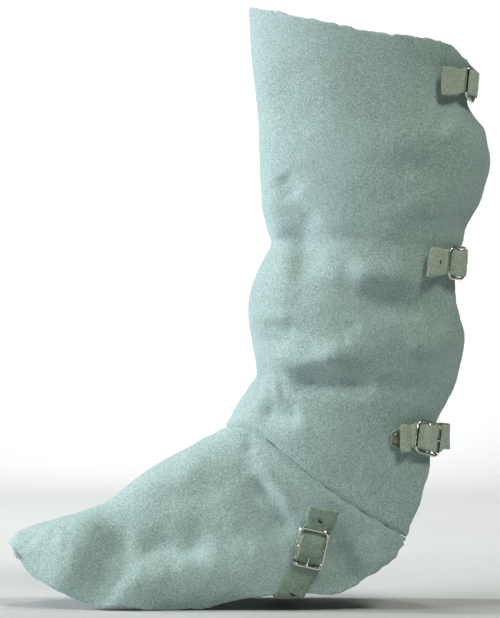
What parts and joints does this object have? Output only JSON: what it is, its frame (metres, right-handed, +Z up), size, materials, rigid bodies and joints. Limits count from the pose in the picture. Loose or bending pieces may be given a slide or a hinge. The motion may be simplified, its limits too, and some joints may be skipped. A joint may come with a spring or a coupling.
{
  "type": "welder's leather spat",
  "caption": "Gaiter of split leather that wraps the lower leg, open down the back, with a sewn foot flap, buckled back straps and a strap under the instep.",
  "frame": {"origin": "middle of the leg tube at the middle closure's level, where the wearer's leg holds it", "axes": "+Z up the leg, toe towards -Y, open back towards +Y, wearer's outer side with the buckles towards +X"},
  "size_m": [0.1325, 0.3237, 0.4013],
  "materials": {
    "suede": "raw chrome-split suede, matt, pale blue-green grey",
    "strap_leather": "split leather strap, matt, grey-green with pale cut edges",
    "nickel": "bright nickel plate"
  },
  "bodies": {
    "root": {"shaft": "suede", "vamp": "suede", "upper_strap": "strap_leather", "upper_chape": "strap_leather", "upper_buckle": "nickel", "upper_prong": "nickel", "upper_chape_rivet": "nickel", "upper_strap_rivet": "nickel", "middle_strap": "strap_leather", "middle_chape": "strap_leather", "middle_buckle": "nickel", "middle_prong": "nickel", "middle_chape_rivet": "nickel", "middle_strap_rivet": "nickel", "lower_strap": "strap_leather", "lower_chape": "strap_leather", "lower_buckle": "nickel", "lower_prong": "nickel", "lower_chape_rivet": "nickel", "lower_strap_rivet": "nickel", "foot_strap": "strap_leather", "foot_chape": "strap_leather", "foot_buckle": "nickel", "foot_prong": "nickel", "foot_chape_rivet": "nickel", "foot_strap_rivet": "nickel"}
  },
  "joints": []
}
